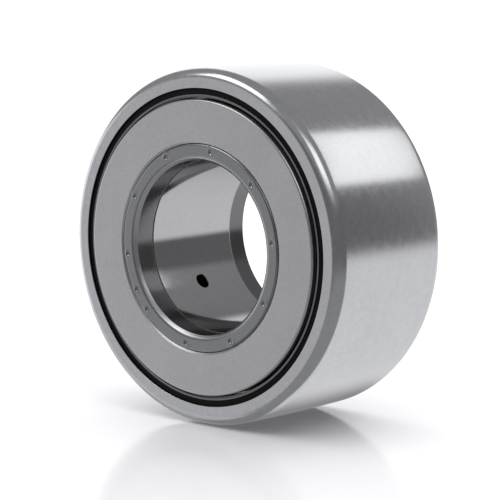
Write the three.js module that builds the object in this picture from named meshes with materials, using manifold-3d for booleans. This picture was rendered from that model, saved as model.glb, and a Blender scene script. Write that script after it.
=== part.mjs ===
// Yoke-type track roller (cam follower without a stud), sealed on both sides.
// Millimetres, +Z up. The roller's axis is +Y, its front face looks along -Y,
// and the origin is the centre of the bore at mid-width.
import * as THREE from 'three';
import { mergeVertices } from 'three/addons/utils/BufferGeometryUtils.js';
import Module from 'manifold-3d';

const wasm = await Module();
wasm.setup();

// ---- Driving dimensions -------------------------------------------------
const outerDiameter = 62;
const outerWidth = 28;
const crownRadius = 500;            // the tread is very slightly barrel-shaped
const edgeRoundRadial = 1.73;       // rounded tread edge, measured on the end face
const edgeRoundAxial = 2.1;         // the same round, measured along the tread
const rimThickness = 3.57;          // tread to the recess at each end, radially

const boreDiameter = 30;
const innerRingWall = 4;            // bore to raceway
const washerSeatStep = 0.96;        // how far each washer's seat is turned down
const boreReliefDepth = 0.1;        // the bore is opened out a little at each end
const boreReliefLength = 4.6;       // from the end face to the ground bore
const boreMouthWidth = 0.6;         // lead-in chamfer, measured on the end face
const boreMouthLength = 0.65;       // the same chamfer, measured along the bore

const washerRimGap = 1.9;           // from the recess wall to the washer's rim
const washerProud = 0.5;            // washers and inner ring stand out this far
const washerThickness = 3.5;
const washerChamfer = 0.25;

const needleDiameter = 4;
const needleCount = 24;
const needleChamfer = 0.3;

const cageWall = 2.4;
const cageRim = 1.8;                // solid rim at each end of the pockets

const sealWidth = 1.07;             // rubber between the recess wall and the steel ring
const sealRingWall = 0.41;          // thin steel ring inside the rubber
const sealRingRecess = 0.2;         // how far it lies behind the outer ring's face
const sealRingWidth = 0.9;
const sealFlangeThickness = 0.4;    // its inner flange, which covers the rubber lip
const sealRecess = 0.3;             // how far the rubber lies behind that face

const oilHoleDiameter = 2.6;
const oilHoleAngle = 214;           // degrees from +X towards +Z
const stakeCount = 10;              // punch marks that lock each side washer
const stakeStartAngle = 8;
const stakeSecondBlowAngle = 210;   // one extra blow on the front face only
const stakeEdgeDistance = 1.0;      // from the washer seat to the mark's centre
const stakeMouthRadius = 0.6;
const stakeTipRadius = 0.2;
const stakeDepth = 0.4;

// ---- Clearances ---------------------------------------------------------
const racewayPlay = 0.05;           // each side of a needle
const pocketPlay = 0.1;             // around a needle in its cage pocket
const cageEndPlay = 0.2;            // cage to each side washer
const washerPlay = 0.1;             // outer ring's shoulder to each side washer
const sealLipPlay = 0.22;           // rubber lip and steel flange to the side washer's rim
const pressGap = 0.02;              // between faces that are pressed together

// ---- Resolution ---------------------------------------------------------
const ringSegments = 60;
const needleSegments = 12;
const oilHoleSegments = 16;
const stakeSegments = 8;
const edgeSteps = 3;
const crownSteps = 4;
const overcut = 0.4;                // how far a cutter runs past the face it opens

// ---- Worked-out sizes ---------------------------------------------------
const halfOuter = outerWidth / 2;
const halfInner = halfOuter + washerProud;
const outerRadius = outerDiameter / 2;
const counterboreRadius = outerRadius - rimThickness;
const boreRadius = boreDiameter / 2;
const reliefRadius = boreRadius + boreReliefDepth;
const innerRacewayRadius = boreRadius + innerRingWall;
const seatRadius = innerRacewayRadius - washerSeatStep;
const pitchRadius = innerRacewayRadius + racewayPlay + needleDiameter / 2;
const outerRacewayRadius = pitchRadius + needleDiameter / 2 + racewayPlay;
const washerInnerFace = halfInner - washerThickness;
const shoulder = washerInnerFace - washerPlay;
const washerRadius = counterboreRadius - washerRimGap;
const sealRingOuter = counterboreRadius - sealWidth;
const sealRingBack = -halfOuter + sealRingRecess + sealRingWidth;
const halfCage = washerInnerFace - cageEndPlay;
const pocketLength = 2 * (halfCage - cageRim);
const needleLength = pocketLength - 2 * pocketPlay;

// ---- Helpers ------------------------------------------------------------
const degrees = THREE.MathUtils.degToRad;

// A ring from an outline of [radius, y] points listed counter-clockwise.
function ring(outline, segments = ringSegments) {
  const closed = [...outline, outline[0]];
  return new THREE.LatheGeometry(closed.map(([r, y]) => new THREE.Vector2(r, y)), segments);
}

// The same outline at the other end of the roller.
function mirrored(outline) {
  return outline.map(([r, y]) => [r, -y]).reverse();
}

function solid(geometry) {
  const bare = geometry.clone();
  bare.deleteAttribute('normal');
  bare.deleteAttribute('uv');
  const merged = mergeVertices(bare);
  const vertProperties = new Float32Array(merged.attributes.position.array);
  const triVerts = new Uint32Array(merged.index.array);
  return new wasm.Manifold(new wasm.Mesh({ numProp: 3, vertProperties, triVerts }));
}

function cut(geometry, cutters) {
  const body = cutters.reduce((rest, cutter) => rest.subtract(solid(cutter)), solid(geometry));
  const mesh = body.getMesh();
  const result = new THREE.BufferGeometry();
  result.setAttribute('position', new THREE.BufferAttribute(mesh.vertProperties, 3));
  result.setIndex(new THREE.BufferAttribute(mesh.triVerts, 1));
  result.computeVertexNormals();
  return result;
}

// Moves a cutter out to a radius and turns it about the roller's axis.
function placeAround(geometry, radius, angle, y = 0) {
  geometry.translate(radius, y, 0);
  geometry.rotateY(-degrees(angle));
  return geometry;
}

// ---- Outer ring ---------------------------------------------------------
function treadRadius(y) {
  return outerRadius - (crownRadius - Math.sqrt(crownRadius ** 2 - y ** 2));
}

function treadOutline() {
  const straight = halfOuter - edgeRoundAxial;
  const edgeRadius = treadRadius(straight);
  const frontEdge = Array.from({ length: edgeSteps }, (_, i) => {
    const turn = (Math.PI / 2) * (i / edgeSteps);
    return [
      edgeRadius - edgeRoundRadial * (1 - Math.sin(turn)),
      -straight - edgeRoundAxial * Math.cos(turn),
    ];
  });
  const tread = Array.from({ length: crownSteps + 1 }, (_, i) => {
    const y = straight * ((2 * i) / crownSteps - 1);
    return [treadRadius(y), y];
  });
  return [...frontEdge, ...tread, ...mirrored(frontEdge)];
}

function outerRing() {
  const frontBore = [[outerRacewayRadius, -shoulder], [counterboreRadius, -shoulder],
    [counterboreRadius, -halfOuter]];
  return ring([...frontBore, ...treadOutline(), ...mirrored(frontBore)]);
}

// ---- Inner ring ---------------------------------------------------------
function stakeMark(angle, side) {
  const height = stakeDepth + overcut;
  const widths = [stakeTipRadius, stakeMouthRadius];
  const [top, bottom] = side < 0 ? widths : widths.reverse();
  const punch = new THREE.CylinderGeometry(top, bottom, height, stakeSegments);
  const y = side * (halfInner + overcut - height / 2);
  return placeAround(punch, seatRadius - stakeEdgeDistance, angle, y);
}

function stakeMarks() {
  const marks = [stakeMark(stakeSecondBlowAngle, -1)];
  for (let i = 0; i < stakeCount; i += 1) {
    const angle = stakeStartAngle + (360 * i) / stakeCount;
    marks.push(stakeMark(angle, -1), stakeMark(angle, 1));
  }
  return marks;
}

function oilHole() {
  const radius = oilHoleDiameter / 2;
  const drill = new THREE.CylinderGeometry(radius, radius, innerRingWall + 2 * overcut, oilHoleSegments);
  drill.rotateZ(Math.PI / 2);
  return placeAround(drill, boreRadius + innerRingWall / 2, oilHoleAngle);
}

function innerRing() {
  const reliefEnd = halfInner - boreReliefLength;
  const frontEnd = [
    [boreRadius, -reliefEnd],
    [reliefRadius, -reliefEnd],
    [reliefRadius, -(halfInner - boreMouthLength)],
    [reliefRadius + boreMouthWidth, -halfInner],
    [seatRadius, -halfInner],
    [seatRadius, -washerInnerFace + pressGap],
    [innerRacewayRadius, -washerInnerFace + pressGap],
  ];
  return cut(ring([...frontEnd, ...mirrored(frontEnd)]), [...stakeMarks(), oilHole()]);
}

// ---- Side washers and seals (front outlines; the rear ones are mirrored) --
const washerOutline = [
  [seatRadius + pressGap, -halfInner],
  [washerRadius - washerChamfer, -halfInner],
  [washerRadius, -halfInner + washerChamfer],
  [washerRadius, -washerInnerFace],
  [seatRadius + pressGap, -washerInnerFace],
];

const sealRingOutline = [
  [sealRingOuter - sealRingWall, -halfOuter + sealRingRecess],
  [sealRingOuter, -halfOuter + sealRingRecess],
  [sealRingOuter, sealRingBack],
  [washerRadius + sealLipPlay, sealRingBack],
  [washerRadius + sealLipPlay, sealRingBack - sealFlangeThickness],
  [sealRingOuter - sealRingWall, sealRingBack - sealFlangeThickness],
];

const sealOutline = [
  [sealRingOuter + pressGap, -halfOuter + sealRecess],
  [counterboreRadius - pressGap, -halfOuter + sealRecess],
  [counterboreRadius - pressGap, -shoulder - pressGap],
  [washerRadius + sealLipPlay, -shoulder - pressGap],
  [washerRadius + sealLipPlay, sealRingBack + pressGap],
  [sealRingOuter + pressGap, sealRingBack + pressGap],
];

// ---- Cage and needle rollers ---------------------------------------------
function needleAngle(index) {
  return (360 * index) / needleCount;
}

function needleCage() {
  const inside = pitchRadius - cageWall / 2;
  const outside = pitchRadius + cageWall / 2;
  const blank = ring([[inside, -halfCage], [outside, -halfCage], [outside, halfCage], [inside, halfCage]]);
  const pocketWidth = needleDiameter + 2 * pocketPlay;
  const pockets = Array.from({ length: needleCount }, (_, i) => {
    const pocket = new THREE.BoxGeometry(cageWall * 2, pocketLength, pocketWidth);
    return placeAround(pocket, pitchRadius, needleAngle(i));
  });
  return cut(blank, pockets);
}

function needleRoller() {
  const radius = needleDiameter / 2;
  const half = needleLength / 2;
  const outline = [[0, -half], [radius - needleChamfer, -half], [radius, -half + needleChamfer],
    [radius, half - needleChamfer], [radius - needleChamfer, half], [0, half]];
  return new THREE.LatheGeometry(outline.map(([r, y]) => new THREE.Vector2(r, y)), needleSegments);
}

// ---- Materials ------------------------------------------------------------
function metal(color, roughness) {
  return new THREE.MeshStandardMaterial({ color, roughness, metalness: 1 });
}

const treadSteel = metal(0xc9cdd2, 0.28);
const ringSteel = metal(0x9b9ea2, 0.35);
const washerSteel = metal(0xa9adb3, 0.4);
const sealRingSteel = metal(0x8d9094, 0.35);
const cageSteel = metal(0x8f8c86, 0.5);
const needleSteel = metal(0xd5d8dc, 0.15);
const sealRubber = new THREE.MeshStandardMaterial({ color: 0x161616, roughness: 0.7, metalness: 0 });

// ---- Assembly ---------------------------------------------------------------
const group = new THREE.Group();

function addPiece(name, geometry, material) {
  const mesh = new THREE.Mesh(geometry, material);
  mesh.name = name;
  group.add(mesh);
  return mesh;
}

addPiece('outer_ring', outerRing(), treadSteel);
addPiece('inner_ring', innerRing(), ringSteel);
addPiece('front_side_washer', ring(washerOutline), washerSteel);
addPiece('rear_side_washer', ring(mirrored(washerOutline)), washerSteel);
addPiece('front_seal', ring(sealOutline), sealRubber);
addPiece('rear_seal', ring(mirrored(sealOutline)), sealRubber);
addPiece('front_seal_ring', ring(sealRingOutline), sealRingSteel);
addPiece('rear_seal_ring', ring(mirrored(sealRingOutline)), sealRingSteel);
addPiece('needle_cage', needleCage(), cageSteel);

for (let i = 0; i < needleCount; i += 1) {
  const needle = addPiece(`needle_roller_${String(i + 1).padStart(2, '0')}`, needleRoller(), needleSteel);
  const angle = degrees(needleAngle(i));
  needle.position.set(pitchRadius * Math.cos(angle), 0, pitchRadius * Math.sin(angle));
}

export default group;
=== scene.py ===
import math

import bmesh
import bpy
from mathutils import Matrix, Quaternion, Vector


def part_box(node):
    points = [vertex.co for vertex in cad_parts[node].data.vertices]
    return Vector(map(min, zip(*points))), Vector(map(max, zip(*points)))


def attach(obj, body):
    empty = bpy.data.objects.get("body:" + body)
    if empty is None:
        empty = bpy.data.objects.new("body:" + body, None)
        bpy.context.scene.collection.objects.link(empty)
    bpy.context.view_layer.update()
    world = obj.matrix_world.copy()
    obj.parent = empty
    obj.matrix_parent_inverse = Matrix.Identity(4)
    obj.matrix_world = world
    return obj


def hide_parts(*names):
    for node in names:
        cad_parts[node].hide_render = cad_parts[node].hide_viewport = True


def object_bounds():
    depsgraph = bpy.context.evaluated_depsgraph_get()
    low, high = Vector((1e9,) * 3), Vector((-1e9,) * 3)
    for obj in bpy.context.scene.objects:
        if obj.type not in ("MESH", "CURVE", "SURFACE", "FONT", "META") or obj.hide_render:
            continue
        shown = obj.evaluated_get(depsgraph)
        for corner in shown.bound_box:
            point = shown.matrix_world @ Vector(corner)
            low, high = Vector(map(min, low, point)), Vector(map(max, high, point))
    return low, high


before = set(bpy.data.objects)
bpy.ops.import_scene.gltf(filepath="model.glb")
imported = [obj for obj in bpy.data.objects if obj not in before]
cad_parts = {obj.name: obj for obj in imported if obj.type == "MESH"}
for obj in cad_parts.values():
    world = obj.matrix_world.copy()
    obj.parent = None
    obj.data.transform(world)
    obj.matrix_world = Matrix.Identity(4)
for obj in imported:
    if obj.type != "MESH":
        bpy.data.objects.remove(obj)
cad_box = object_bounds()

# ---- Units and fineness of the pieces, in millimetres ----------------------
MM = 0.001
RING_STEPS = 240            # segments round each fine ring
ROLLER_STEPS = 40           # segments round each needle
OIL_HOLE_STEPS = 48
ARC_STEPS = 4               # steps in each small corner round
EDGE_STEPS = 14             # steps in the rounded edge of the tread
CROWN_STEPS = 24            # steps across the tread
FACE_ROWS = 16              # rows of points across the end face that is punched
MARK_STEP = 0.3             # degrees between segments near a punch mark
MARK_STEPS = 20             # such segments on each side of a mark
SHORTEST_STEP = 0.12        # degrees; segments closer than this are merged
HOLD = 0.03                 # loop beside each round that keeps its neighbours flat
PRESS_GAP = 0.02            # between faces that are pressed together, as in the CAD part
OVERCUT = 1.0               # how far a cutter runs past the wall it opens
AXIS = 0.0001               # radius at which an outline that reaches the axis is closed
MERGE = 0.0005              # points closer than this become one

# ---- Camera, in degrees and millimetres ------------------------------------
CAMERA_AZIMUTH = 41.6
CAMERA_ELEVATION = 7.55
CAMERA_DISTANCE = 378.6     # from the middle of the outer ring's front face
CAMERA_RIGHT = 8.57         # the camera stands this far right of that line
CAMERA_DOWN = 0.30
CAMERA_LENS = 159.1
SENSOR = 36.0

# ---- Cards that the steel mirrors, in degrees and millimetres ---------------
STRIP_ANGLE = 50.9          # the way the strip faces, about the roller's axis
STRIP_CENTRE = (51.7, 58.5, 56.3)
STRIP_WIDTH = 42.3
STRIP_LENGTH = 46.0         # short enough to stay out of the bore's mirror image
STRIP_SOFT = 2.5
STRIP_BRIGHTNESS = 1.5
SOFTBOX_CENTRE = (-83.4, -132.0, 156.6)
SOFTBOX_WIDTH = 104.0
SOFTBOX_HEIGHT = 112.0
SOFTBOX_SOFT = 12.0
SOFTBOX_BRIGHTNESS = 2.4
SHADE_CENTRE = (-6.0, 5.0)  # dark card below the roller
SHADE_DEPTH = 0.5           # it lies this far under the table's surface
SHADE_WIDTH = 40.0
SHADE_LENGTH = 38.0         # short enough to stay out of the bore's mirror image
SHADE_SOFT = 5.0
SHADE_BRIGHTNESS = 0.3

# ---- Table, backdrop and overhead lamp, in metres and watts -----------------
TABLE_SIZE = 3.2
TABLE_ROUGHNESS = 0.11
TABLE_SPECULAR = 0.18
BACKDROP_RADIUS = 8.0
BACKDROP_BRIGHTNESS = 1.05
LAMP_PLACE = (-0.1, 0.1, 1.3)
LAMP_SIZE = 2.8
LAMP_POWER = 37.0

# ---- Patterns in the steel: noise scales, per metre -------------------------
LINE_SCALE = 55.0
LINE_STRETCH = 160.0        # ground lines are this much finer across than along
FACE_LINES = 0.83           # how close the lines are on an end face, against 1 on the tread
GRAIN_SCALE = 3600.0
CLOUD_SCALE = 800.0
SMUDGE_SCALE = 95.0

# ---- Sizes and fine details that the frame doesn't give, in degrees and millimetres
EDGE_ROUND_RADIAL = 1.73
EDGE_ROUND_AXIAL = 2.1
CROWN_RADIUS = 500.0
FACE_CONE = 0.05            # the outer ring's end face falls back this much to its rim
BORE_RELIEF_DEPTH = 0.1
BORE_RELIEF_LENGTH = 4.6    # from the end face to the ground bore
BORE_MOUTH_WIDTH = 0.6      # chamfer at each end of the bore, on the end face
BORE_MOUTH_LENGTH = 0.65    # the same chamfer, along the bore
BORE_STEP_LENGTH = 0.3      # slope from the ground bore to its relief
MOUTH_ROUND = 1.0           # between that chamfer and the end face
WASHER_RIM_ROUND = 0.32
WASHER_BREAK_WIDTH = 0.36   # the washer's bore edge is broken this much on its face
WASHER_BREAK_LENGTH = 0.22  # and this much along its bore
SEAT_ROUND = 0.4
SEAL_RING_WALL = 0.41
FLANGE_THICKNESS = 0.4      # of the seal ring's inner flange
NEEDLE_ROUND = 0.35
STAKE_COUNT = 10
STAKE_START = 8.0
STAKE_EXTRA = 210.0         # one extra blow, on the front face only
STAKE_RADIUS = 0.5
STAKE_DEPTH = 0.22
STAKE_INSET = 1.1           # from the washer's seat to a mark's centre
STAKE_SINK = 0.035          # the end face lies this much under the raised metal
STAKE_SPREAD = 0.14         # how far a blow pushes the seat's edge over the washer
STAKE_SKIN = 0.3            # depth under the end face in which a blow moves metal
LIP_DISTANCE = 0.675        # from a mark's centre to the raised metal round it
LIP_WIDTH = 0.3
PUSH_WIDTH = 0.6            # width of the seat's edge that one blow pushes out
OIL_HOLE_RADIUS = 1.3
OIL_HOLE_BREAK = 0.096      # how far its broken edge reaches into the wall
OIL_HOLE_FLARE = 1.02       # how much its cutter widens from there to its mouth
OIL_HOLE_ANGLE = 214.0

# ---- Places in the inner ring's list of finishes, after its end faces' own --
BORE_PLACE = 1
RELIEF_PLACE = 2
MOUTH_PLACE = 3


# ---- Sizes read from the frame ---------------------------------------------
def radii(node):
    """Smallest and largest distance of a CAD node from the roller's axis, in millimetres."""
    reach = [math.hypot(v.co.x, v.co.z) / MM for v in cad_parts[node].data.vertices]
    return min(reach), max(reach)


def span(node):
    """The node's two ends along the roller's axis, in millimetres."""
    low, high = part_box(node)
    return low.y / MM, high.y / MM


# ---- Mesh helpers -----------------------------------------------------------
def arc_corner(before, corner, after, radius):
    """Points that round one corner of an outline, with a holding point at each side."""
    p = Vector(corner)
    u = (Vector(before) - p).normalized()
    v = (Vector(after) - p).normalized()
    half = u.angle(v) / 2
    reach = radius / math.tan(half)
    centre = p + (u + v).normalized() * (radius / math.sin(half))
    start = (p + u * reach - centre).normalized()
    end = (p + v * reach - centre).normalized()
    points = [p + u * (reach + HOLD)]
    for i in range(ARC_STEPS + 1):
        points.append(centre + start.slerp(end, i / ARC_STEPS) * radius)
    return points + [p + v * (reach + HOLD)]


def rounded(corners):
    """An outline of (radius, y, corner round) entries as plain points."""
    points = []
    for i, (r, y, corner_round) in enumerate(corners):
        if corner_round <= 0:
            points.append(Vector((r, y)))
            continue
        points += arc_corner(corners[i - 1][:2], (r, y), corners[(i + 1) % len(corners)][:2], corner_round)
    return points


def mirrored(corners):
    """The same corners at the other end of the roller."""
    return [(r, -y, corner_round) for r, y, corner_round in reversed(corners)]


def even_angles(steps):
    return [2 * math.pi * i / steps for i in range(steps)]


def lathe(name, outline, angles, centre=(0.0, 0.0), shift=None):
    """A closed ring from an outline listed counter-clockwise in (radius, y)."""
    mesh = bpy.data.meshes.new(name)
    vertices, faces = [], []
    count = len(outline)
    for angle in angles:
        for point in outline:
            r, y = shift(point[0], point[1], angle) if shift else point
            x = (centre[0] + r * math.cos(angle)) * MM
            z = (centre[1] + r * math.sin(angle)) * MM
            vertices.append((x, y * MM, z))
    for i in range(len(angles)):
        here, there = i * count, ((i + 1) % len(angles)) * count
        for j in range(count):
            k = (j + 1) % count
            faces.append((here + j, here + k, there + k, there + j))
    mesh.from_pydata(vertices, [], faces)
    bm = bmesh.new()
    bm.from_mesh(mesh)
    bmesh.ops.remove_doubles(bm, verts=bm.verts, dist=MERGE * MM)
    bm.to_mesh(mesh)
    bm.free()
    mesh.shade_smooth()
    piece = bpy.data.objects.new(name, mesh)
    bpy.context.scene.collection.objects.link(piece)
    return piece


def fit(piece, node, body, slot, *materials):
    """The piece stands for one CAD node, rides its body and takes its finish."""
    for material in materials:
        piece.data.materials.append(material)
    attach(piece, body)
    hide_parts(node)
    return piece


# ---- Node helpers -------------------------------------------------------------
class Graph:
    """Short ways to add nodes to a material's or the world's tree."""

    def __init__(self, tree):
        self.tree = tree
        self.tree.nodes.clear()

    def node(self, kind, **settings):
        made = self.tree.nodes.new(kind)
        for key, value in settings.items():
            setattr(made, key, value)
        return made

    def feed(self, socket, value):
        if isinstance(value, bpy.types.NodeSocket):
            self.tree.links.new(value, socket)
        else:
            socket.default_value = value

    def math(self, operation, a, b=0.0, clamp=False):
        made = self.node("ShaderNodeMath", operation=operation, use_clamp=clamp)
        self.feed(made.inputs[0], a)
        self.feed(made.inputs[1], b)
        return made.outputs[0]

    def split(self, vector):
        made = self.node("ShaderNodeSeparateXYZ")
        self.feed(made.inputs[0], vector)
        return made.outputs

    def join(self, x, y, z):
        made = self.node("ShaderNodeCombineXYZ")
        for socket, value in zip(made.inputs, (x, y, z)):
            self.feed(socket, value)
        return made.outputs[0]

    def ramp(self, value, low, high, to_low=0.0, to_high=1.0):
        made = self.node("ShaderNodeMapRange", interpolation_type="SMOOTHSTEP")
        for socket, number in zip(made.inputs, (value, low, high, to_low, to_high)):
            self.feed(socket, number)
        return made.outputs[0]

    def noise(self, vector, scale, detail=3.0, roughness=0.5):
        made = self.node("ShaderNodeTexNoise")
        self.feed(made.inputs["Vector"], vector)
        made.inputs["Scale"].default_value = scale
        made.inputs["Detail"].default_value = detail
        made.inputs["Roughness"].default_value = roughness
        return made.outputs["Fac"]

    def colours(self, value, stops):
        made = self.node("ShaderNodeValToRGB")
        self.feed(made.inputs[0], value)
        elements = made.color_ramp.elements
        while len(elements) < len(stops):
            elements.new(0.5)
        for element, (place, colour) in zip(elements, stops):
            element.position = place
            element.color = (*colour, 1.0)
        return made.outputs[0]

    def multiply(self, one, other):
        made = self.node("ShaderNodeMix", data_type="RGBA", blend_type="MULTIPLY")
        made.inputs[0].default_value = 1.0
        self.feed(made.inputs[6], one)
        self.feed(made.inputs[7], other)
        return made.outputs[2]

    def bump(self, height, strength, distance, normal=None):
        made = self.node("ShaderNodeBump")
        made.inputs["Strength"].default_value = strength
        made.inputs["Distance"].default_value = distance
        self.feed(made.inputs["Height"], height)
        if normal:
            self.feed(made.inputs["Normal"], normal)
        return made.outputs[0]

    def total(self, *values):
        result = values[0]
        for value in values[1:]:
            result = self.math("ADD", result, value)
        return result


def shaded(colour, change):
    """A colour made lighter or darker by a share."""
    return tuple(min(1.0, c * (1 + change)) for c in colour)


def finish_surface(graph, colour, roughness, normal, metallic, specular=0.5, edge=1.0):
    surface = graph.node("ShaderNodeBsdfPrincipled")
    surface.inputs["Metallic"].default_value = metallic
    surface.inputs["Specular IOR Level"].default_value = specular
    surface.inputs["Specular Tint"].default_value = (edge, edge, edge, 1.0)
    graph.feed(surface.inputs["Base Color"], colour)
    graph.feed(surface.inputs["Roughness"], roughness)
    graph.feed(surface.inputs["Normal"], normal)
    output = graph.node("ShaderNodeOutputMaterial")
    graph.tree.links.new(surface.outputs[0], output.inputs[0])


def new_material(name):
    material = bpy.data.materials.new(name)
    material.use_nodes = True
    return material, Graph(material.node_tree)


# ---- Materials ------------------------------------------------------------------
def steel(name, colour, roughness, line_depth=0.4, grain_depth=0.3, mottle=0.05, stain=0.03,
          fleck=0.08, blotch=0.03, edge=1.0):
    """Ground steel: fine lines round the axis, a satin grain, and faint marks from handling.
    Below 1, edge makes it duller where it is seen along the surface."""
    material, g = new_material(name)
    place = g.node("ShaderNodeTexCoord").outputs["Object"]
    x, y, z = g.split(place)
    radius = g.math("SQRT", g.math("ADD", g.math("MULTIPLY", x, x), g.math("MULTIPLY", z, z)))
    across = g.math("ADD", y, g.math("MULTIPLY", radius, FACE_LINES))
    lines = g.noise(g.join(x, g.math("MULTIPLY", across, LINE_STRETCH), z), LINE_SCALE, 4.0, 0.6)
    grain = g.noise(place, GRAIN_SCALE, 2.0, 0.6)
    smudge = g.noise(place, SMUDGE_SCALE, 4.0, 0.55)
    cloud = g.noise(place, CLOUD_SCALE, 3.0, 0.6)
    tone = g.colours(smudge, [(0.3, shaded(colour, -stain)), (0.55, colour), (0.75, shaded(colour, stain))])
    spread = g.math("MULTIPLY", g.math("SUBTRACT", cloud, 0.5), mottle * 2)
    streak = g.math("MULTIPLY", g.math("SUBTRACT", lines, 0.5), mottle)
    rough = g.total(spread, streak, roughness)
    speckle = g.colours(grain, [(0.3, (1 - fleck,) * 3), (0.7, (1.0,) * 3)])
    blotches = g.colours(cloud, [(0.38, (1 - blotch,) * 3), (0.62, (1.0,) * 3)])
    tone = g.multiply(g.multiply(tone, speckle), blotches)
    normal = g.bump(cloud, 1.0, mottle * 0.08 * MM)
    normal = g.bump(lines, line_depth, 0.002 * MM, normal)
    normal = g.bump(grain, grain_depth, 0.003 * MM, normal)
    finish_surface(g, tone, rough, normal, 1.0, edge=edge)
    return material


def rubber(name):
    material, g = new_material(name)
    place = g.node("ShaderNodeTexCoord").outputs["Object"]
    grain = g.noise(place, 2400.0, 3.0, 0.6)
    dust = g.noise(place, 260.0, 4.0, 0.6)
    tone = g.colours(dust, [(0.35, (0.002, 0.002, 0.0025)), (0.8, (0.006, 0.006, 0.0065))])
    rough = g.math("ADD", 0.42, g.math("MULTIPLY", dust, 0.25))
    finish_surface(g, tone, rough, g.bump(grain, 0.5, 0.01 * MM), 0.0, 0.12)
    return material


# ---- Pieces ---------------------------------------------------------------------
def tread_radius(y, outer_radius):
    return outer_radius - (CROWN_RADIUS - math.sqrt(CROWN_RADIUS ** 2 - y * y))


def outer_ring(material):
    raceway, outer_radius = radii("outer_ring")
    front, rear = span("outer_ring")
    recess = radii("front_seal")[1] + PRESS_GAP
    shoulder = span("front_seal")[1] + PRESS_GAP
    straight = rear - EDGE_ROUND_AXIAL
    edge_radius = tread_radius(straight, outer_radius)
    face_rim = edge_radius - EDGE_ROUND_RADIAL
    bore = [(raceway, shoulder, 0.3), (recess, shoulder, 0.15), (recess, front, 0.08)]
    edge = [(face_rim - HOLD * 2, front + FACE_CONE, 0)]
    for i in range(EDGE_STEPS + 1):
        turn = math.pi / 2 * i / EDGE_STEPS
        r = edge_radius - EDGE_ROUND_RADIAL * (1 - math.sin(turn))
        y = -straight - (EDGE_ROUND_AXIAL - FACE_CONE) * math.cos(turn)
        edge.append((r, y, 0))
    crown = []
    for i in range(1, CROWN_STEPS):
        y = straight * (2 * i / CROWN_STEPS - 1)
        crown.append((tread_radius(y, outer_radius), y, 0))
    corners = bore + edge + crown + mirrored(edge) + mirrored(bore)
    piece = lathe("outer_ring_fine", rounded(corners), even_angles(RING_STEPS))
    return fit(piece, "outer_ring", "outer_ring", "tread_steel", material)


def stake_angles(side):
    angles = [STAKE_START + 360.0 * i / STAKE_COUNT for i in range(STAKE_COUNT)]
    return angles + [STAKE_EXTRA] if side < 0 else angles


def staked_angles():
    """Steps round the inner ring, close together at each punch mark and at the oil hole."""
    steps = set(round(360.0 / RING_STEPS * i, 3) for i in range(RING_STEPS))
    for mark in stake_angles(-1) + [OIL_HOLE_ANGLE]:
        near = range(-MARK_STEPS, MARK_STEPS + 1)
        steps |= set(round((mark + MARK_STEP * i) % 360.0, 3) for i in near)
    ordered = sorted(steps)
    after = ordered[1:] + [ordered[0] + 360.0]
    return [math.radians(a) for a, b in zip(ordered, after) if b - a > SHORTEST_STEP]


def smooth_step(value):
    t = max(0.0, min(1.0, value))
    return t * t * (3 - 2 * t)


def punched(seat, face):
    """Moves points of the inner ring's ends into dents, with metal pushed up towards the seam."""

    def shift(r, y, angle):
        side = -1 if y < 0 else 1
        depth = abs(face) - abs(y)
        out = r - (seat - STAKE_INSET)
        if depth > STAKE_SKIN * 2:
            return r, y
        push = drop = 0.0
        for mark in stake_angles(side):
            turn = math.radians((math.degrees(angle) - mark + 180.0) % 360.0 - 180.0)
            across = turn * r
            distance = math.hypot(across, out)
            reach = max(0.0, 1 - (distance / STAKE_RADIUS) ** 2)
            dent = STAKE_DEPTH * reach ** 0.8 if depth < 0.2 else 0.0
            lip = STAKE_SINK * math.exp(-((distance - LIP_DISTANCE) / LIP_WIDTH) ** 2)
            lip *= smooth_step(out / 0.5 + 0.4) * smooth_step(1 - (depth - 0.05) / STAKE_SKIN)
            spread = STAKE_SPREAD * math.exp(-(across / PUSH_WIDTH) ** 2)
            push += spread * smooth_step(out / 0.5 - 1) * smooth_step(1 - depth / STAKE_SKIN)
            drop += dent - lip
        return r + push, y - side * drop

    return shift


def inner_ring(*finishes):
    """Its finishes are those of the end faces, the ground bore, its reliefs, darkened with painted shade,
    and its mouths, lightened with painted light.
    """
    bore, raceway = radii("inner_ring")
    front = span("inner_ring")[0]
    seat = radii("front_side_washer")[0] - PRESS_GAP
    seat_end = span("front_side_washer")[1] + PRESS_GAP
    relief = bore + BORE_RELIEF_DEPTH
    relief_end = front + BORE_RELIEF_LENGTH
    end_face = front + STAKE_SINK
    mouth_rim = relief + BORE_MOUTH_WIDTH
    first_row = mouth_rim + MOUTH_ROUND * 0.55
    last_row = seat - SEAT_ROUND - 0.1
    spacing = (last_row - first_row) / FACE_ROWS
    face_rows = [(first_row + spacing * i, end_face, 0) for i in range(FACE_ROWS + 1)]
    end = [
        (bore, relief_end, 0.3),
        (relief, relief_end - BORE_STEP_LENGTH, 0.1),
        (relief, front + BORE_MOUTH_LENGTH, 0.12),
        (mouth_rim, end_face, MOUTH_ROUND),
        *face_rows,
        (seat, end_face, SEAT_ROUND),
        (seat, seat_end, 0),
        (raceway, seat_end, 0.1),
    ]
    outline = rounded(end + mirrored(end))
    piece = lathe("inner_ring_fine", outline, staked_angles(), shift=punched(seat, end_face))
    drill_oil_hole(piece, bore, raceway)
    true_bore(piece, bore, relief)
    for face in piece.data.polygons:
        if on_mouth(face, relief, mouth_rim):
            face.material_index = MOUTH_PLACE
    return fit(piece, "inner_ring", "inner_assembly", "inner_ring_steel", *finishes)


def on_mouth(face, relief, mouth_rim):
    """Whether a face lies on the chamfer at either end of the bore."""
    distance = math.hypot(face.center.x, face.center.z) / MM
    return relief - 0.05 < distance < mouth_rim + 0.05 and 0.1 < abs(face.normal.y) < 0.9


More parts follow.
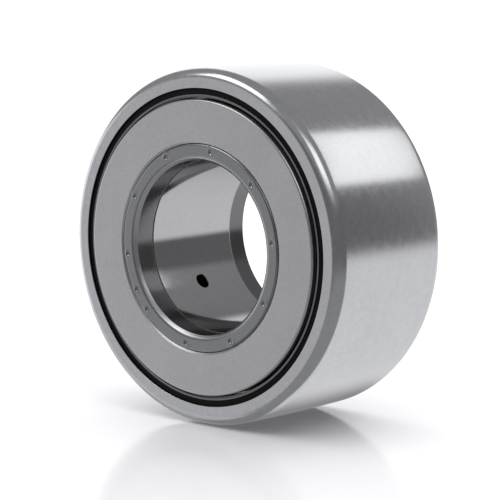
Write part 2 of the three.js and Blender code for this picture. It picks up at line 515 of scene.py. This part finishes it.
def true_bore(piece, bore, relief):
    """Shades the bore's walls as true cylinders and gives them their own finishes, which paint shade into
    the bore and its reliefs.
    """
    mesh = piece.data
    normals = [(0.0, 0.0, 0.0)] * len(mesh.loops)
    for face in mesh.polygons:
        reach = [math.hypot(mesh.vertices[v].co.x, mesh.vertices[v].co.z) / MM for v in face.vertices]
        for finish_place, wall in ((BORE_PLACE, bore), (RELIEF_PLACE, relief)):
            if max(abs(r - wall) for r in reach) > 0.01:
                continue
            face.material_index = finish_place
            for loop in face.loop_indices:
                inward = -mesh.vertices[mesh.loops[loop].vertex_index].co
                inward.y = 0.0
                normals[loop] = tuple(inward.normalized())
    mesh.normals_split_custom_set(normals)


def drill_oil_hole(piece, bore, raceway):
    """Cuts the radial oil hole, with its mouth broken slightly."""
    stations = [
        (bore - OVERCUT, OIL_HOLE_RADIUS + OIL_HOLE_FLARE),
        (bore + OIL_HOLE_BREAK, OIL_HOLE_RADIUS),
        (raceway + OVERCUT, OIL_HOLE_RADIUS),
    ]
    bm = bmesh.new()
    loops = []
    for distance, radius in stations:
        loops.append([bm.verts.new((distance * MM, radius * math.cos(t) * MM, radius * math.sin(t) * MM))
                      for t in even_angles(OIL_HOLE_STEPS)])
    for low, high in zip(loops, loops[1:]):
        for i in range(OIL_HOLE_STEPS):
            k = (i + 1) % OIL_HOLE_STEPS
            bm.faces.new((low[i], low[k], high[k], high[i]))
    bm.faces.new(loops[0])
    bm.faces.new(loops[-1])
    bmesh.ops.recalc_face_normals(bm, faces=bm.faces)
    mesh = bpy.data.meshes.new("oil_hole_cutter")
    bm.to_mesh(mesh)
    bm.free()
    cutter = bpy.data.objects.new("oil_hole_cutter", mesh)
    bpy.context.scene.collection.objects.link(cutter)
    cutter.rotation_euler = (0.0, -math.radians(OIL_HOLE_ANGLE), 0.0)
    modifier = piece.modifiers.new("oil_hole", "BOOLEAN")
    modifier.operation = "DIFFERENCE"
    modifier.solver = "EXACT"
    modifier.object = cutter
    bpy.context.view_layer.update()
    graph = bpy.context.evaluated_depsgraph_get()
    cut_mesh = bpy.data.meshes.new_from_object(piece.evaluated_get(graph))
    piece.modifiers.clear()
    piece.data = cut_mesh
    bpy.data.objects.remove(cutter)


def side_washer(end, material):
    node = f"{end}_side_washer"
    inside, rim = radii(node)
    front, back = span("front_side_washer")
    corners = [
        (inside, back, 0.05),
        (inside, front + WASHER_BREAK_LENGTH, 0.05),
        (inside + WASHER_BREAK_WIDTH, front, 0.05),
        (rim, front, WASHER_RIM_ROUND),
        (rim, back, 0.1),
    ]
    outline = rounded(corners if end == "front" else mirrored(corners))
    piece = lathe(f"{node}_fine", outline, even_angles(RING_STEPS))
    return fit(piece, node, "inner_assembly", "washer_steel", material)


def seal(end, material):
    node = f"{end}_seal"
    lip, outside = radii(node)
    front, back = span("front_seal")
    ring_outside = radii("front_seal_ring")[1] + PRESS_GAP
    lip_front = span("front_seal_ring")[1] + PRESS_GAP
    corners = [
        (ring_outside, lip_front, 0),
        (ring_outside, front, 0.12),
        (outside, front + 0.12, 0.1),
        (outside, back, 0.1),
        (lip, back, 0.2),
        (lip, lip_front, 0.12),
    ]
    outline = rounded(corners if end == "front" else mirrored(corners))
    piece = lathe(f"{node}_fine", outline, even_angles(RING_STEPS))
    return fit(piece, node, "outer_ring", "seal_rubber", material)


def seal_ring(end, material):
    node = f"{end}_seal_ring"
    lip, outside = radii(node)
    inside = outside - SEAL_RING_WALL
    front, back = span("front_seal_ring")
    flange = back - FLANGE_THICKNESS
    corners = [
        (inside, flange, 0.05),
        (inside, front, 0.06),
        (outside, front, 0.04),
        (outside, back, 0.05),
        (lip, back, 0.05),
        (lip, flange, 0.08),
    ]
    outline = rounded(corners if end == "front" else mirrored(corners))
    piece = lathe(f"{node}_fine", outline, even_angles(RING_STEPS))
    return fit(piece, node, "outer_ring", "seal_ring_steel", material)


def needle(node, material):
    low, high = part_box(node)
    middle = (low + high) / 2 / MM
    radius = (high.x - low.x) / 2 / MM
    half = (high.y - low.y) / 2 / MM
    end = [(radius, half, NEEDLE_ROUND), (AXIS, half, 0)]
    angles = even_angles(ROLLER_STEPS)
    piece = lathe(f"{node}_fine", rounded(mirrored(end) + end), angles, centre=(middle.x, middle.z))
    return fit(piece, node, node.replace("_roller", ""), "needle_steel", material)


# ---- Stage ----------------------------------------------------------------------
def unseen(thing, *kinds):
    """Hides a stage piece from these kinds of ray."""
    for kind in kinds:
        setattr(thing, f"visible_{kind}", False)


def table(height):
    """A pale table, which the roller doesn't mirror: the studio's patches and cards stand in for it."""
    material, g = new_material("table")
    place = g.node("ShaderNodeTexCoord").outputs["Object"]
    cloud = g.noise(place, 30.0, 2.0)
    tone = g.colours(cloud, [(0.3, (0.90, 0.90, 0.91)), (0.7, (0.92, 0.92, 0.925))])
    rough = g.math("ADD", TABLE_ROUGHNESS, g.math("MULTIPLY", cloud, 0.04))
    finish_surface(g, tone, rough, g.bump(cloud, 0.02, 0.1 * MM), 0.0, TABLE_SPECULAR)
    bpy.ops.mesh.primitive_plane_add(size=TABLE_SIZE, location=(0, 0, height))
    top = bpy.context.object
    top.name = "table_top"
    top.data.materials.append(material)
    unseen(top, "glossy")


def backdrop():
    """A plain white dome that only the camera sees."""
    material, g = new_material("backdrop_white")
    glow = g.node("ShaderNodeEmission")
    glow.inputs["Color"].default_value = (1.0, 1.0, 1.0, 1.0)
    glow.inputs["Strength"].default_value = BACKDROP_BRIGHTNESS
    g.tree.links.new(glow.outputs[0], g.node("ShaderNodeOutputMaterial").inputs[0])
    bpy.ops.mesh.primitive_uv_sphere_add(segments=48, ring_count=24, radius=BACKDROP_RADIUS)
    dome = bpy.context.object
    dome.name = "backdrop"
    dome.data.materials.append(material)
    unseen(dome, "diffuse", "glossy", "transmission", "shadow", "volume_scatter")


def window(g, value, half_width, soft):
    """1 well within half_width, falling to 0 from soft before that edge to soft past it."""
    return g.ramp(value, half_width - soft, half_width + soft, 1.0, 0.0)


def light_patch(g, direction, azimuth, elevation, half_width, half_height, soft):
    """How much of a soft rectangular patch of studio light lies in this direction, from 0 to 1.
    Azimuth 0 is behind the roller, 90 to its right and 180 in front of it."""
    x, y, elevation_here = direction
    a = math.radians(azimuth)
    flat = g.math("SQRT", g.math("ADD", g.math("MULTIPLY", x, x), g.math("MULTIPLY", y, y)))
    along = g.math("ADD", g.math("MULTIPLY", x, math.sin(a)), g.math("MULTIPLY", y, math.cos(a)))
    cosine = g.math("DIVIDE", along, g.math("MAXIMUM", flat, 1e-4))
    turn = g.math("DEGREES", g.math("ARCCOSINE", g.math("MINIMUM", cosine, 1.0)))
    rise = g.math("ABSOLUTE", g.math("SUBTRACT", elevation_here, elevation))
    return g.math("MULTIPLY", window(g, turn, half_width, soft), window(g, rise, half_height, soft))


# Patches of the studio that the steel mirrors, in degrees: azimuth, elevation, half width,
# half height and softness, then the brightness. A later patch covers an earlier one.
STUDIO = [
    (0, -48, 180, 45, 2, 0.34),       # table, out of the lights' reach
    (120, 6, 85, 17, 4, 0.18),        # dark room to the right and in front
    (5, -47, 44, 42, 3, 0.92),        # pale table behind the roller
    (-95, -25, 45, 21, 6, 0.75),      # pale table to the left
    (-80, -3, 46, 12, 5, 1.20),       # white sweep to the left
    (-45, 12, 17, 21, 6, 1.25),       # its brighter part, behind the roller
    (115, 45, 27, 13, 7, 1.60),       # soft box to the right
    (-137, -7, 13, 10, 6, 0.60),      # table in front, which the end faces mirror
]
BASE_LIGHT = 0.33


def studio_light():
    world = bpy.data.worlds.new("studio")
    world.use_nodes = True
    bpy.context.scene.world = world
    g = Graph(world.node_tree)
    x, y, z = g.split(g.node("ShaderNodeTexCoord").outputs["Generated"])
    elevation = g.math("DEGREES", g.math("ARCSINE", z))
    level = BASE_LIGHT
    for azimuth, rise, half_width, half_height, soft, bright in STUDIO:
        patch = light_patch(g, (x, y, elevation), azimuth, rise, half_width, half_height, soft)
        change = g.math("MULTIPLY", g.math("SUBTRACT", bright, level), patch)
        level = g.math("ADD", level, change)
    background = g.node("ShaderNodeBackground")
    g.feed(background.inputs["Color"], g.join(level, level, g.math("MULTIPLY", level, 1.02)))
    background.inputs["Strength"].default_value = 1.0
    output = g.node("ShaderNodeOutputWorld")
    g.tree.links.new(background.outputs[0], output.inputs[0])


def card(name, centre, turn, width, length, soft, brightness):
    """A card of even brightness with soft edges, which only mirror-like surfaces see."""
    material, g = new_material(name)
    across, along, _ = g.split(g.node("ShaderNodeTexCoord").outputs["Object"])
    cover = g.math("MULTIPLY", window(g, g.math("ABSOLUTE", across), width * MM / 2, soft * MM),
                   window(g, g.math("ABSOLUTE", along), length * MM / 2, soft * MM))
    glow = g.node("ShaderNodeEmission")
    glow.inputs["Strength"].default_value = brightness
    mix = g.node("ShaderNodeMixShader")
    g.feed(mix.inputs[0], cover)
    g.tree.links.new(g.node("ShaderNodeBsdfTransparent").outputs[0], mix.inputs[1])
    g.tree.links.new(glow.outputs[0], mix.inputs[2])
    g.tree.links.new(mix.outputs[0], g.node("ShaderNodeOutputMaterial").inputs[0])
    half_width, half_length = (width / 2 + soft) * MM, (length / 2 + soft) * MM
    mesh = bpy.data.meshes.new(name)
    corners = [(-1, -1), (1, -1), (1, 1), (-1, 1)]
    vertices = [(x * half_width, y * half_length, 0.0) for x, y in corners]
    mesh.from_pydata(vertices, [], [(0, 1, 2, 3)])
    mesh.materials.append(material)
    made = bpy.data.objects.new(name, mesh)
    made.location = Vector(centre) * MM
    made.rotation_mode = "QUATERNION"
    made.rotation_quaternion = turn
    bpy.context.scene.collection.objects.link(made)
    unseen(made, "camera", "diffuse", "transmission", "shadow")


def cards(table_height):
    along_roller = Quaternion((0.0, 1.0, 0.0), math.radians(90.0 - STRIP_ANGLE))
    towards_roller = Vector(SOFTBOX_CENTRE).to_track_quat("Z", "Y")
    flat = Quaternion()
    shade_centre = (*SHADE_CENTRE, table_height / MM - SHADE_DEPTH)
    card("strip_light", STRIP_CENTRE, along_roller,
         STRIP_WIDTH, STRIP_LENGTH, STRIP_SOFT, STRIP_BRIGHTNESS)
    card("soft_box", SOFTBOX_CENTRE, towards_roller,
         SOFTBOX_WIDTH, SOFTBOX_HEIGHT, SOFTBOX_SOFT, SOFTBOX_BRIGHTNESS)
    card("contact_shade", shade_centre, flat,
         SHADE_WIDTH, SHADE_LENGTH, SHADE_SOFT, SHADE_BRIGHTNESS)


def overhead_light():
    """Lights the table evenly, so that the shadow under the roller stays soft."""
    light = bpy.data.lights.new("overhead", "AREA")
    light.size = LAMP_SIZE
    light.energy = LAMP_POWER
    lamp = bpy.data.objects.new("overhead", light)
    lamp.location = LAMP_PLACE
    lamp.rotation_euler = Vector(LAMP_PLACE).to_track_quat("Z", "Y").to_euler()
    unseen(lamp, "glossy", "camera")
    bpy.context.scene.collection.objects.link(lamp)


def camera():
    a, e = math.radians(CAMERA_AZIMUTH), math.radians(CAMERA_ELEVATION)
    back = Vector((math.sin(a) * math.cos(e), -math.cos(a) * math.cos(e), math.sin(e)))
    turn = back.to_track_quat("Z", "Y")
    right, up = turn @ Vector((1, 0, 0)), turn @ Vector((0, 1, 0))
    target = Vector((0, span("outer_ring")[0], 0))
    place = target + back * CAMERA_DISTANCE + right * CAMERA_RIGHT - up * CAMERA_DOWN
    data = bpy.data.cameras.new("camera")
    data.lens = CAMERA_LENS
    data.sensor_width = SENSOR
    data.clip_start = 0.01
    data.clip_end = 50.0
    eye = bpy.data.objects.new("camera", data)
    eye.location = place * MM
    eye.rotation_mode = "QUATERNION"
    eye.rotation_quaternion = turn
    bpy.context.scene.collection.objects.link(eye)
    bpy.context.scene.camera = eye


# ---- Build ------------------------------------------------------------------------
camera()
bpy.context.scene.view_settings.view_transform = "Standard"

tread_finish = steel("tread_steel", (0.63, 0.635, 0.65), 0.18, mottle=0.06, blotch=0.05)
inner_finish = steel("inner_ring_steel", (0.32, 0.325, 0.33), 0.26)
# The mouths get a lighter copy of the inner ring's steel: painted light on the chamfers at the bore's ends.
mouth_painted_light_steel = steel("mouth_steel", (0.56, 0.565, 0.57), 0.30)
# The bore's steel is darker than the tread's and, with edge below 1, duller where seen along its walls:
# painted shade inside the bore.
bore_painted_shade_steel = steel("bore_steel", (0.51, 0.51, 0.52), 0.09, line_depth=0.2, grain_depth=0.05,
                    mottle=0.02, fleck=0.03, edge=0.55)
# The reliefs get a much darker copy of the bore's steel: painted shade in these recesses, over real turning
# lines.
relief_painted_shade_steel = steel("relief_steel", (0.20, 0.20, 0.205), 0.17, line_depth=0.9)
washer_finish = steel("washer_steel", (0.61, 0.61, 0.625), 0.30, fleck=0.16)
seal_ring_finish = steel("seal_ring_steel", (0.22, 0.22, 0.23), 0.3)
cage_finish = steel("cage_steel", (0.42, 0.40, 0.37), 0.42)
needle_finish = steel("needle_steel", (0.64, 0.65, 0.66), 0.12)
rubber_finish = rubber("seal_rubber")

outer_ring(tread_finish)
inner_ring(inner_finish, bore_painted_shade_steel, relief_painted_shade_steel, mouth_painted_light_steel)
for end in ("front", "rear"):
    side_washer(end, washer_finish)
    seal(end, rubber_finish)
    seal_ring(end, seal_ring_finish)

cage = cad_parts["needle_cage"]
cage.data.materials.clear()
cage.data.materials.append(cage_finish)
for node in sorted(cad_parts):
    if node.startswith("needle_roller"):
        needle(node, needle_finish)

table(cad_box[0].z)
backdrop()
studio_light()
cards(cad_box[0].z)
overhead_light()
